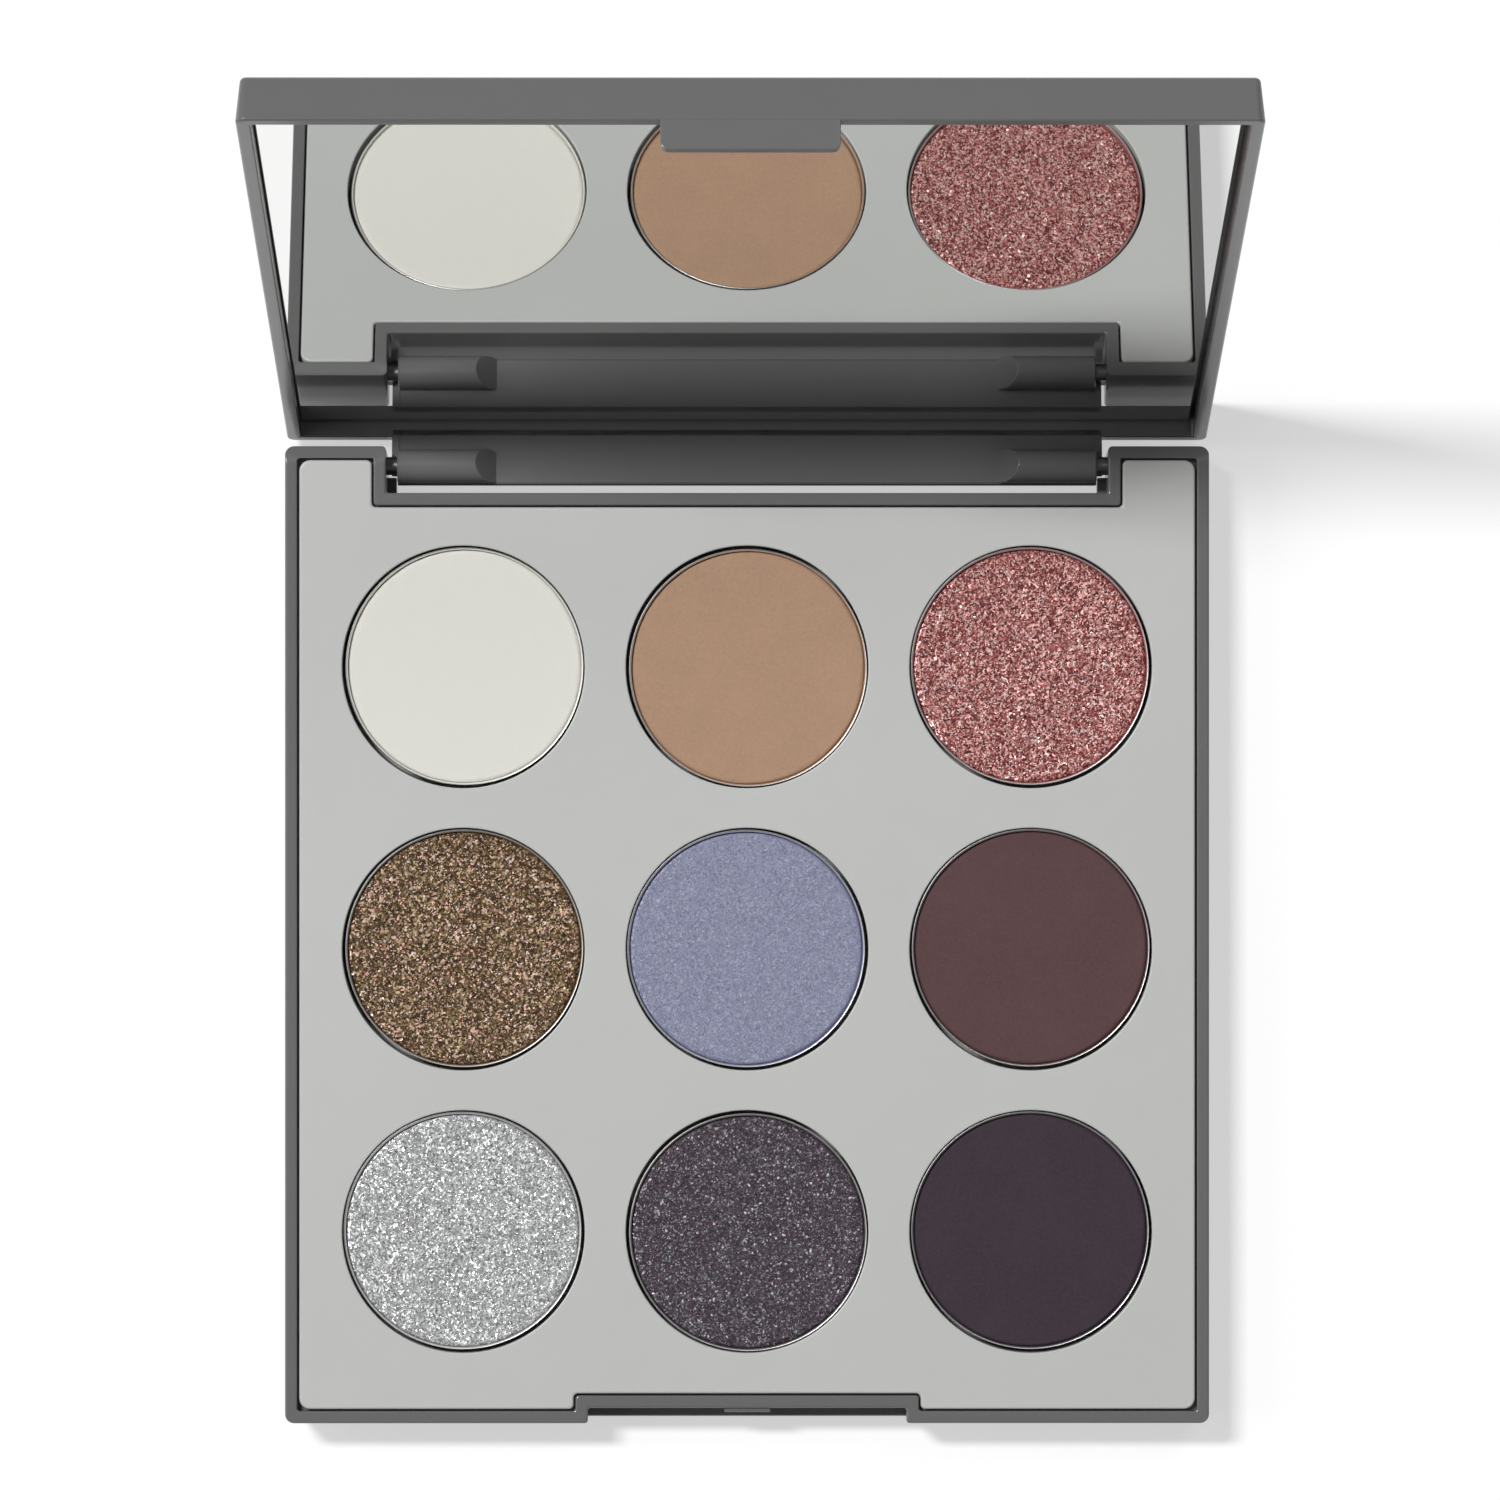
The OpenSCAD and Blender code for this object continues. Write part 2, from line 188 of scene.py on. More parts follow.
def plan_rings(inset, lean, z, thumb, lines, outer_r=1.0, inner_r=0.35):
    """Rings of the shell's plan, one for each entry of the four arrays.

    inset takes the whole plan in, lean takes in its four outer sides alone, thumb is the
    share of the thumb recess's depth that is cut, and lines are the places along Y where
    the side walls keep a point of their own. An outer corner's radius is outer_r less the
    inset and a share of the lean, but at least inner_r, which the recesses' corners have.
    Behind the hinge's axis no point is higher than a circle about that axis which touches
    the plane of the rim.
    """
    inset, lean, z, thumb = (np.asarray(v, float)[:, None] for v in (inset, lean, z, thumb))
    one = np.ones_like(inset)
    lean_share, step_share, mouth_share = 0.3, 0.4, 0.5
    bend_gap, least_bend = 0.02, 0.1
    line_r = 0.05 * one
    x0, y0 = half_w - inset - lean, half_d - inset - lean
    nx, ny = notch_x + inset, notch_y - inset
    tx = thumb_x + inset
    ty = y0 - thumb * (y0 - (half_d - thumb_depth - inset))
    r_out = np.maximum(outer_r - inset - lean * lean_share, inner_r)
    r_small = np.minimum(inner_r, step_share * (y0 - ty))
    bend_end = y0 - r_out - bend_gap
    bend_start = np.minimum(axis_y * one, bend_end - least_bend)
    bend_y, bend_r = (bend_end + bend_start) / 2, (bend_end - bend_start) / 2
    right = [(x0, line * one, line_r) for line in lines]
    left = [(-x0, line * one, line_r) for line in lines[::-1]]
    corners = [
        (-x0, -y0, r_out),
        (-tx, -y0, r_small), (-tx, -ty, r_small), (tx, -ty, r_small), (tx, -y0, r_small),
        (x0, -y0, r_out), *right, (x0, bend_y, bend_r), (x0, y0, r_out),
        (nx, y0, r_out * mouth_share), (nx, bend_y, bend_r), (nx, ny, inner_r * one),
        (-nx, ny, inner_r * one), (-nx, bend_y, bend_r), (-nx, y0, r_out * mouth_share),
        (-x0, y0, r_out), (-x0, bend_y, bend_r), *left,
    ]
    at = np.stack([np.concatenate([c[0] for c in corners], 1),
                   np.concatenate([c[1] for c in corners], 1)], axis=-1)
    radii = np.concatenate([c[2] for c in corners], 1)
    ring = rounded(at, radii, turns=at[-1] if thumb[-1] > 0 else None)
    points = np.concatenate([ring, np.broadcast_to(z[..., None], (*ring.shape[:2], 1))], -1)
    behind = np.clip(points[..., 1] - axis_y, 0, None)
    swing = axis_z + np.sqrt(axis_down**2 - behind**2)
    points[..., 2] = np.where(behind > 0, np.minimum(points[..., 2], swing), points[..., 2])
    apart = corner_steps + 1        # points to a corner
    before_lines = 6                # corners from the first one to the right-hand lines
    row_right = [(before_lines + k) * apart + apart // 2 for k in range(len(lines))]
    row_left = [(len(corners) - 1 - k) * apart + apart // 2 for k in range(len(lines))]
    return points, list(zip(row_right, row_left))


def table(*rows):
    """Turns rows of (inset, lean, z, thumb) into the four arrays that plan_rings takes."""
    return [np.concatenate([np.atleast_1d(np.asarray(r[k], float)) for r in rows])
            for k in range(4)]


def spread(inset, z, lean=0.0, thumb=1.0):
    """One run of profile rows, with the same thumb recess and a lean of its own."""
    inset, z = np.broadcast_arrays(np.asarray(inset, float), np.asarray(z, float))
    return inset, np.broadcast_to(lean, inset.shape), z, np.full(inset.shape, float(thumb))


def turned(profile, at=(0.0, 0.0), around=96):
    """Rings of a lathe profile of (radius, z) rows about an upright axis at a point."""
    angle = np.arange(around) * 2 * np.pi / around
    r, z = np.asarray(profile, float).T
    return np.stack([
        at[0] + r[:, None] * np.cos(angle), at[1] + r[:, None] * np.sin(angle),
        np.broadcast_to(z[:, None], (len(z), around)),
    ], axis=-1)


def bar(profile, x_low, x_high, edge=0.12):
    """Rings of a bar along X with a (y, z) profile.

    At its two ends the profile is scaled about its middle, so that its furthest point comes
    in by edge.
    """
    profile = np.asarray(profile, float)
    middle = profile.mean(0)
    reach = np.abs(profile - middle).max()
    shrink = np.array([1 - edge / reach, 1, 1, 1 - edge / reach])[:, None, None]
    flat = middle + (profile - middle) * shrink
    x = np.array([x_low, x_low + edge, x_high - edge, x_high])[:, None, None]
    return np.concatenate([np.broadcast_to(x, (*flat.shape[:2], 1)), flat], axis=-1)


class Wire:
    """A socket of a material, which Python's arithmetic turns into Math nodes."""

    def __init__(self, finish, socket):
        self.finish, self.socket = finish, socket

    def maths(self, operation, *values):
        """Adds a Math node over wires and numbers."""
        return self.finish.node("ShaderNodeMath", {"operation": operation}, values)

    def __add__(self, other):
        return self.maths("ADD", self, other)

    def __sub__(self, other):
        return self.maths("SUBTRACT", self, other)

    def __rsub__(self, other):
        return self.maths("SUBTRACT", other, self)

    def __mul__(self, other):
        return self.maths("MULTIPLY", self, other)

    def __truediv__(self, other):
        return self.maths("DIVIDE", self, other)

    def __rtruediv__(self, other):
        return self.maths("DIVIDE", other, self)

    def __gt__(self, other):
        return self.maths("GREATER_THAN", self, other)

    def __lt__(self, other):
        return self.maths("LESS_THAN", self, other)

    def larger(self, other):
        """The larger of two values."""
        return self.maths("MAXIMUM", self, other)

    __radd__, __rmul__ = __add__, __mul__


class Finish:
    """A material with one Principled surface, built up node by node."""

    def __init__(self, name, **sockets):
        self.material = bpy.data.materials.new(name)
        self.material.use_nodes = True
        self.tree = self.material.node_tree
        self.surface = self.tree.nodes["Principled BSDF"]
        self.place = self.node("ShaderNodeTexCoord", out="Object")
        self.set(**sockets)

    def node(self, kind, settings=None, inputs=(), out=0):
        """Adds a node: its settings first, then values or wires for its sockets."""
        made = self.tree.nodes.new(kind)
        for key, value in (settings or {}).items():
            if key == "stops":
                ramp = made.color_ramp.elements
                while len(ramp) < len(value):
                    ramp.new(0.5)
                for stop, (place, colour) in zip(ramp, value):
                    stop.position, stop.color = place, (*colour, 1)
            else:
                setattr(made, key, value)
        pairs = inputs.items() if isinstance(inputs, dict) else enumerate(inputs)
        for key, value in pairs:
            self.link(made.inputs[key], value)
        return Wire(self, made.outputs[out])

    def link(self, socket, value):
        """Feeds a socket with a wire, a colour, a vector or a number."""
        if isinstance(value, Wire):
            self.tree.links.new(value.socket, socket)
        elif isinstance(value, (tuple, list)) and socket.type == "RGBA":
            socket.default_value = (*value, 1)
        else:
            socket.default_value = value

    def set(self, **sockets):
        """Sets or links the Principled surface's sockets, named with underscores."""
        for key, value in sockets.items():
            self.link(self.surface.inputs[key.replace("_", " ")], value)
        return self

    def noise(self, size_mm, detail=2.0, rough=0.5):
        """Noise between about 0 and 1 whose blotches are about size_mm across."""
        return self.node("ShaderNodeTexNoise", inputs={
            "Vector": self.place, "Scale": 1 / (size_mm * MM),
            "Detail": detail, "Roughness": rough,
        })

    def blend(self, amount, low, high):
        """Mixes two colours by an amount between 0 and 1."""
        mix = self.node("ShaderNodeMix", {"data_type": "RGBA", "clamp_factor": True}, {
            "Factor": amount}, out="Result")
        node = mix.socket.node
        ends = [s for s in node.inputs if s.type == "RGBA"]
        self.link(ends[0], low)
        self.link(ends[1], high)
        return Wire(self, [s for s in node.outputs if s.type == "RGBA"][0])

    def bump(self, height, depth_mm):
        """Bends the normal as if the surface rose by depth_mm where height is 1."""
        normal = self.node("ShaderNodeBump", inputs={
            "Strength": 1.0, "Distance": depth_mm * MM, "Height": height})
        return self.set(Normal=normal)


def moulded_plastic(name, colour, roughness, grain_mm):
    """Satin moulded plastic: an eroded grain, faint flow marks and small dull patches."""
    finish = Finish(name, IOR=1.53)
    grain_depth, flow_mm, rub_mm, uneven = 0.003, 22, 3.5, 0.045
    grain = finish.noise(grain_mm, detail=2, rough=0.5)
    flow = finish.noise(flow_mm, detail=3, rough=0.55)
    rub = finish.noise(rub_mm, detail=5, rough=0.65)
    dark = tuple(c * (1 - uneven) for c in colour)
    light = tuple(c * (1 + uneven) for c in colour)
    finish.set(
        Base_Color=finish.blend(flow * 0.6 + grain * 0.4, dark, light),
        Roughness=roughness + (rub - 0.5) * 0.12 + (grain - 0.5) * 0.06,
    )
    return finish.bump(grain, grain_depth).material


shell_finish = moulded_plastic("shell_grey_plastic", (0.137, 0.137, 0.137), roughness=0.20,
                               grain_mm=0.16)

edge_r, rim_r, inner_r = 0.5, 0.26, 0.16     # round the foot, outside and inside the rim
thumb_edge, thumb_chamfer = 0.12, 0.09       # softening of the thumb recess's floor
round_steps = 5
quarter = np.linspace(0, np.pi / 2, round_steps + 1)
sin, cos = np.sin(quarter), np.cos(quarter)  # for every rounded edge from here on
bottom_z = edge_r * (1 - cos)
rim_round_z = rim_z - rim_r + rim_r * sin
shell_profile = table(
    spread(edge_r * (1 - sin), bottom_z, (rim_z - bottom_z) * draft, 0),
    spread([0], [thumb_floor - thumb_edge], (rim_z - thumb_floor) * draft, 0),
    spread([0], [thumb_floor], (rim_z - thumb_floor) * draft, thumb_chamfer),
    spread([0], [thumb_floor], (rim_z - thumb_floor) * draft, 1),
    spread(rim_r * (1 - cos), rim_round_z, (rim_z - rim_round_z) * draft),
    spread(wall - inner_r + inner_r * sin, rim_z - inner_r * (1 - cos)),
    spread([wall, wall + seat_w, wall + seat_w], [seat_z, seat_z, floor_z]),
)
shell = Surface()
rings, label_stops = plan_rings(*shell_profile, lines=[label_y])
ids = shell.add(rings, skin(*rings.shape[:2])).reshape(rings.shape[:2])
shell.fill([ids[-1]])

# the flat recess under the shell that the label is stuck in
label_gap, recess_depth, recess_r, flat_r = 0.2, 0.2, 1.2, 0.05
label_edge = (label_high - label_low)[:2] / 2 + label_gap
label_corners = np.array([
    (label_edge[0], 0), (label_edge[0], label_edge[1]), (-label_edge[0], label_edge[1]),
    (-label_edge[0], 0), (-label_edge[0], -label_edge[1]), (label_edge[0], -label_edge[1]),
])
label_ring = rounded(label_corners, np.array([flat_r, recess_r, recess_r] * 2))
label_ring = np.roll(label_ring, -3, axis=0) + (0, label_y)
recess = np.stack([np.column_stack([label_ring, np.full(len(label_ring), z)])
                   for z in (0.0, recess_depth)])
recess_ids = shell.rings(recess, first_cap=False)
for face in strips(ids[0], label_stops, [[list(recess_ids[0])]]):
    shell.fill([face[::-1]])

# posts that take the tray's pegs, the catch, and the gussets low in the hinge recess
pitch_x, pitch_y, rows_front = 31.0, 30.85, 1.6
post_places = [(x * pitch_x, y * pitch_y - rows_front)
               for x in (-0.5, 0.5) for y in (-0.5, 0.5)]
post_r, post_foot, post_flare, post_sink, post_edge = 2.5, 0.2, 0.3, 0.1, 0.1
peg_hole_r, peg_hole_depth = 0.95, 2.8
post_profile = [
    (post_r + post_foot, floor_z - post_sink), (post_r, floor_z + post_flare),
    (post_r, seat_z - post_edge), (post_r - post_edge, seat_z),
    (peg_hole_r + post_edge, seat_z), (peg_hole_r, seat_z - post_edge),
    (peg_hole_r, seat_z - peg_hole_depth),
]
for place in post_places:
    shell.rings(turned(post_profile, place, 32))
catch_profile = [(0.2, -0.05), (0.0, 0.0), (-0.46, 0.34), (-0.5, 0.42), (-0.5, 0.68),
                 (-0.47, 0.76), (-0.40, 0.81), (0.0, 0.88), (0.2, 0.88)]
catch_z, catch_x = rim_z - 1.4, 2.5
catch = np.array(catch_profile) + (thumb_depth - half_d, catch_z)
shell.rings(bar(catch, -catch_x, catch_x))
gusset_w, sunk = 0.95, 0.1
gusset = np.array([(-sunk, 0.3), (1.5, 0.3), (1.85, 0.6), (1.85, 2.3), (1.7, 2.45),
                   (-sunk, 2.45)])
for side in (-1, 1):
    ends = sorted((side * (notch_x - gusset_w), side * (notch_x + sunk)))
    shell.rings(bar(gusset + (notch_y, 0), *ends, edge=0.08))
shell.piece("shell_moulding", "base", "shell_plastic", ["base_shell"], [shell_finish])

# ---------------------------------------------------------------------------------------
# Pan tray
# A second moulding, in light grey ABS, pressed down on the shell's ledge with four pegs.
# Nine wells hang under its plate, and each well's mouth and the plate's rim are softened.

tray_low, tray_high = (np.array(corner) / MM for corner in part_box("pan_tray"))
tray_top = tray_high[2]
tray_inset = half_w - tray_high[0]
tray_edge_r, tray_foot = 0.25, 0.12
tray_outer_r, tray_inner_r = 2.75, 0.5
well_r, well_wall, mouth_r = 13.25, 0.8, 0.16
well_bend, well_chamfer, cup_edge = 0.4, 0.12, 0.2
well_floor = tray_low[2] + well_wall
peg_r, peg_len, peg_tip, peg_root = 0.9, 2.5, 0.2, 0.1
row_y = [pitch_y * k - rows_front for k in (-1, 0, 1)]
column_x = [pitch_x * k for k in (1, 0, -1)]

tray_finish = moulded_plastic("tray_grey_plastic", (0.495, 0.502, 0.488), roughness=0.38,
                              grain_mm=0.13)
tray = Surface()
tray_profile = table(
    spread(tray_inset + tray_edge_r * (1 - sin), tray_top - tray_edge_r * (1 - cos)),
    spread([tray_inset, tray_inset + tray_foot], [seat_z + tray_foot, seat_z]),
)
rings, row_stops = plan_rings(*tray_profile, lines=row_y, outer_r=tray_outer_r,
                              inner_r=tray_inner_r)
tray_ids = tray.add(rings, skin(*rings.shape[:2])).reshape(rings.shape[:2])
well_profile = [
    *zip(well_r + mouth_r * (1 - sin), tray_top - mouth_r * (1 - cos)),
    (well_r, well_floor + well_bend),
    (well_r - well_chamfer, well_floor + well_chamfer), (well_r - well_bend, well_floor),
]
cup_profile = [
    (well_r + well_wall, seat_z), (well_r + well_wall, tray_low[2] + cup_edge),
    (well_r + well_wall - cup_edge, tray_low[2]),
]
peg_profile = [
    (peg_r, seat_z + peg_root), (peg_r, seat_z - peg_len + peg_tip),
    (peg_r - peg_tip, seat_z - peg_len),
]
mouths, cups = [], []
for y in row_y:
    inner = [tray.rings(turned(well_profile, (x, y)), first_cap=False)[0] for x in column_x]
    outer = [tray.rings(turned(cup_profile, (x, y)), first_cap=False)[0] for x in column_x]
    mouths.append([list(i) for i in inner])
    cups.append([list(i) for i in outer])
tray.fill(strips(tray_ids[0], row_stops, mouths))
for face in strips(tray_ids[-1], row_stops, cups):
    tray.fill([face[::-1]])
for place in post_places:
    tray.rings(turned(peg_profile, place, 24))
tray.piece("tray_moulding", "base", "tray_plastic", ["pan_tray"], [tray_finish])

# ---------------------------------------------------------------------------------------
# Pans
# Nine cups drawn from thin aluminium sheet, 26 mm across, with a bright cut rim that falls
# a little inwards and a rounded bend at the floor. Each is stuck in its well and lies a
# little off the middle, and its powder has left dust on the rim.

shades = ["ivory", "tan", "rose", "bronze", "periwinkle", "cocoa", "silver", "charcoal",
          "aubergine"]
pan_r, pan_wall, pan_bend = 13.0, 0.25, 0.8
lip, lip_bevel, rim_fall = 0.06, 0.018, 0.035
dust_edge, dust_fade = 12.90, 0.05      # radius that the dust reaches, and its soft edge

rim_dust = {
    "ivory": (0.66, 0.65, 0.60), "tan": (0.36, 0.23, 0.155), "rose": (0.30, 0.13, 0.125),
    "bronze": (0.155, 0.105, 0.065), "periwinkle": (0.23, 0.24, 0.34),
    "cocoa": (0.105, 0.062, 0.065), "silver": (0.40, 0.40, 0.40),
    "charcoal": (0.10, 0.085, 0.09), "aubergine": (0.062, 0.048, 0.058),
}


def drawn_pan(shade, centre):
    """Drawn aluminium, bright on the outer part of its rim, with powder left on the rest.

    The powder lies wherever the distance from the pan's upright axis is less than the
    dust's edge, which noise makes a little ragged.
    """
    finish = Finish("pan_metal_" + shade)
    drawn = finish.noise(0.5, detail=4, rough=0.7)
    ragged = finish.noise(0.25, detail=3, rough=0.7)
    flat = finish.node("ShaderNodeVectorMath", {"operation": "MULTIPLY"},
                       [finish.place, (1, 1, 0)])
    away = finish.node("ShaderNodeVectorMath", {"operation": "DISTANCE"},
                       [flat, (centre[0] * MM, centre[1] * MM, 0)], out="Value")
    inside = (dust_edge - away / MM) / dust_fade + ragged - 0.5
    dusty = finish.node("ShaderNodeClamp", inputs=[inside])
    metal = finish.blend(drawn, (0.40, 0.40, 0.395), (0.54, 0.54, 0.53))
    finish.set(
        Base_Color=finish.blend(dusty, metal, rim_dust[shade]), Metallic=1 - dusty,
        Roughness=0.32 + drawn * 0.14 + dusty * 0.4,
    )
    return finish.bump(ragged, 0.006).material


pan_places = {}
for shade in shades:
    low, high = (np.array(corner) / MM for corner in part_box("pan_" + shade))
    centre = (low + high)[:2] / 2
    base, top = low[2], high[2]
    pan_places[shade] = centre, base
    outside = [*zip(pan_r - pan_bend * (1 - sin), base + pan_bend * (1 - cos))]
    bend_in = pan_bend - pan_wall
    inside = [*zip(pan_r - pan_bend + bend_in * sin[::-1],
                   base + pan_bend - bend_in * cos[::-1])]
    profile = [
        *outside, (pan_r, top - lip), (pan_r - lip_bevel, top - lip_bevel),
        (pan_r - lip, top), (pan_r - pan_wall + lip, top - rim_fall),
        (pan_r - pan_wall + lip_bevel, top - rim_fall - lip_bevel),
        (pan_r - pan_wall, top - rim_fall - lip), *inside,
    ]
    cup = Surface()
    cup.rings(turned(profile, centre, 128))
    cup.piece(f"pan_{shade}_cup", "base", "pan_metal", ["pan_" + shade],
              [drawn_pan(shade, centre)])

# ---------------------------------------------------------------------------------------
# Pressed powders
# Each shade is loose powder stamped into its pan through a cloth: a flat cake with a low
# bevel at its edge. Mattes are mica and talc with a fine grain, satins carry fine pearl,
# and the shimmers and glitters carry flakes that lie nearly flat and catch the light.

cake_r = pan_r - pan_wall
bevel_w, bevel_d, bevel_round = 0.48, 0.40, 0.96
crumble_depth, matte_relief, flake_relief = 0.035, 0.006, 0.012


def waves(x, y, size_mm, seed):
    """A smooth uneven field about 0 with a spread of about 1, from plane waves.

    Each wave runs in a direction and with a phase of its own, and its length lies
    between one and two times size_mm.
    """
    count = 48
    draw = np.random.default_rng(seed)
    way = draw.uniform(0, 2 * np.pi, count)
    phase = draw.uniform(0, 2 * np.pi, count)
    number = 2 * np.pi / (size_mm * draw.uniform(1, 2, count))
    along = (x[..., None] * np.cos(way) + y[..., None] * np.sin(way)) * number + phase
    return np.cos(along).sum(-1) * np.sqrt(2 / count)


def cake(centre, base, top, seed, relief):
    """A pressed cake: its face dips and swells a little, and its edge is bevelled.

    The face is a polar grid. Its height is the top, less the bevel's drop near the rim,
    plus relief times two fields of waves, which fade out at the wall of the pan. A third
    field crumbles the bevel.
    """
    face = Surface()
    face_rows, bevel_rows, crowding, around = 40, 6, 0.9, 128
    side_z, foot_in, foot_z = base + 1.0, 0.5, base + 0.3
    inner = np.linspace(0.02, 1, face_rows) ** crowding * (cake_r - bevel_w)
    outer = np.linspace(cake_r - bevel_w, cake_r, bevel_rows + 1)[1:]
    r = np.concatenate([inner, outer])
    rings = turned(np.column_stack([r, np.full(len(r), top)]), centre, around)
    x, y = rings[..., 0], rings[..., 1]
    fall = np.clip((r - (cake_r - bevel_w)) / bevel_w, 0, 1)[:, None]
    drop = bevel_d * (1 - np.sqrt(1 - fall**2 * bevel_round))
    swell = 0.6 * waves(x, y, 6.0, seed) + 0.4 * waves(x, y, 1.6, seed + 1)
    crumble = waves(x, y, 0.9, seed + 2) * np.sin(np.pi * np.clip(fall, 0, 1))
    sunk = relief * 1.8             # keeps the highest swell under the top
    rings[..., 2] = np.minimum(top, top - drop - sunk + relief * swell * (1 - fall)
                               + crumble_depth * crumble * (fall > 0))
    side = turned([(cake_r, side_z), (cake_r - foot_in, foot_z)], centre, around)
    face.rings(np.concatenate([rings, side]))
    return face


def pressed_matte(name, colour, speck):
    """Matte powder: close grain, faint clouds, and specks lighter and darker by speck."""
    finish = Finish(name, Roughness=0.88, Specular_IOR_Level=0.25)
    grain = finish.noise(0.30, detail=4, rough=0.8)
    cloudy = finish.noise(7, detail=3, rough=0.6)
    amount = (grain - 0.5) * 1.6 + (cloudy - 0.5) * 0.5 + 0.5
    dark = tuple(c * (1 - speck) for c in colour)
    light = tuple(c * (1 + speck) for c in colour)
    finish.set(Base_Color=finish.blend(amount, dark, light))
    return finish.bump(grain, 0.02)


def pressed_flakes(name, bed, flakes, size_mm, share, tilt, shine, rough, bed_spread):
    """Powder with flakes: cells of two sizes, of which a share is bright and tilted.

    A cell's random colour says whether it is a flake, which of the flake colours it has
    and how it leans. The bed between the flakes is a matte grain of cells. shine is how
    metallic a flake is, and rough its roughness.
    """
    bed_size, small_size, small_share, matte = 0.95, 0.55, 0.8, 0.85
    finish = Finish(name, Specular_IOR_Level=0.35)
    grain = finish.noise(0.13, detail=3, rough=0.7)
    fine = finish.node("ShaderNodeTexVoronoi", {"feature": "F1"}, {
        "Vector": finish.place, "Scale": 1 / (bed_size * size_mm * MM)}, out="Color")
    speck = finish.node("ShaderNodeSeparateColor", inputs=[fine], out=2)
    bed_colour = finish.blend(speck * 0.7 + grain * 0.3,
                              tuple(c * (1 - bed_spread) for c in bed),
                              tuple(c * (1 + bed_spread) for c in bed))
    colour, metal, lean = bed_colour, 0.0, None
    for size, part in ((size_mm, share), (size_mm * small_size, share * small_share)):
        cells = finish.node("ShaderNodeTexVoronoi", {"feature": "F1"}, {
            "Vector": finish.place, "Scale": 1 / (size * MM)}, out="Color")
        apart = finish.node("ShaderNodeSeparateColor", inputs=[cells])
        pick = apart.socket.node.outputs
        chosen = Wire(finish, pick[0]) > (1 - part)
        hue = finish.node("ShaderNodeValToRGB", {"stops": flakes}, [Wire(finish, pick[1])])
        colour = finish.blend(chosen, colour, hue)
        metal = (chosen * shine).larger(metal)
        away = finish.node("ShaderNodeVectorMath", {"operation": "SUBTRACT"},
                           [cells, (0.5, 0.5, 0.5)])
        away = finish.node("ShaderNodeVectorMath", {"operation": "SCALE"},
                           {"Vector": away, "Scale": chosen * tilt})
        lean = away if lean is None else finish.node(
            "ShaderNodeVectorMath", {"operation": "ADD"}, [lean, away])
    base = finish.node("ShaderNodeBump", inputs={
        "Strength": 1.0, "Distance": 0.03 * MM, "Height": grain})
    tipped = finish.node("ShaderNodeVectorMath", {"operation": "ADD"}, [base, lean])
    tipped = finish.node("ShaderNodeVectorMath", {"operation": "NORMALIZE"}, [tipped])
    return finish.set(Base_Color=colour, Metallic=metal, Normal=tipped,
                      Roughness=matte - metal * (matte - rough) / shine)


white, pale_gold, gold = (0.95, 0.92, 0.88), (0.72, 0.55, 0.33), (0.34, 0.22, 0.11)
pink, deep_pink, pale_pink = (0.97, 0.50, 0.46), (0.22, 0.040, 0.040), (0.98, 0.82, 0.78)
powder_finishes = {
    "ivory": pressed_matte("powder_ivory_matte", (0.708, 0.700, 0.648), speck=0.02),
    "tan": pressed_matte("powder_tan_matte", (0.403, 0.255, 0.170), speck=0.16),
    "cocoa": pressed_matte("powder_cocoa_matte", (0.101, 0.054, 0.057), speck=0.20),
    "aubergine": pressed_matte("powder_aubergine_matte", (0.047, 0.032, 0.043), speck=0.26),
    "periwinkle": pressed_flakes(
        "powder_periwinkle_satin", bed=(0.22, 0.227, 0.335),
        flakes=[(0.0, (0.26, 0.27, 0.38)), (1.0, (0.36, 0.37, 0.48))],
        size_mm=0.20, share=0.30, tilt=0.35, shine=0.3, rough=0.45, bed_spread=0.38),
    "rose": pressed_flakes(
        "powder_rose_shimmer", bed=(0.090, 0.020, 0.021),
        flakes=[(0.0, deep_pink), (0.38, (0.56, 0.16, 0.15)), (0.75, pink), (1.0, pale_pink)],
        size_mm=0.25, share=0.60, tilt=0.78, shine=0.48, rough=0.20, bed_spread=0.95),
    "bronze": pressed_flakes(
        "powder_bronze_glitter", bed=(0.042, 0.022, 0.011),
        flakes=[(0.0, (0.12, 0.07, 0.03)), (0.45, gold), (0.8, pale_gold), (0.92, pink),
                (1.0, white)],
        size_mm=0.25, share=0.44, tilt=0.82, shine=0.55, rough=0.20, bed_spread=0.95),
    "silver": pressed_flakes(
        "powder_silver_glitter", bed=(0.245, 0.247, 0.247),
        flakes=[(0.0, (0.34, 0.345, 0.35)), (0.5, (0.68, 0.69, 0.70)),
                (1.0, (0.98, 0.98, 0.98))],
        size_mm=0.24, share=0.60, tilt=0.62, shine=0.46, rough=0.22, bed_spread=0.85),
    "charcoal": pressed_flakes(
        "powder_charcoal_shimmer", bed=(0.046, 0.033, 0.043),
        flakes=[(0.0, (0.12, 0.09, 0.12)), (0.5, (0.26, 0.20, 0.24)),
                (0.8, (0.30, 0.38, 0.40)), (1.0, (0.75, 0.62, 0.68))],
        size_mm=0.20, share=0.19, tilt=0.65, shine=0.5, rough=0.25, bed_spread=0.75),
}
for number, shade in enumerate(shades):
    centre, base = pan_places[shade]
    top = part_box("powder_" + shade)[1].z / MM
    matte = shade in ("ivory", "tan", "cocoa", "aubergine")
    pressed = cake(centre, base, top, 10 * number + 3, matte_relief if matte else flake_relief)
    pressed.piece(f"powder_{shade}_cake", "base", "powder_" + shade, ["powder_" + shade],
                  [powder_finishes[shade].material], crease=50)

# ---------------------------------------------------------------------------------------
# Lid
# One moulding in the same grey ABS as the shell: a thin panel with a rim round the mirror.
# Its back wall runs down into the hinge web and the two knuckles that take the pins, and a
# short tab in front snaps over the shell's catch. It is laid out shut, then turned open.

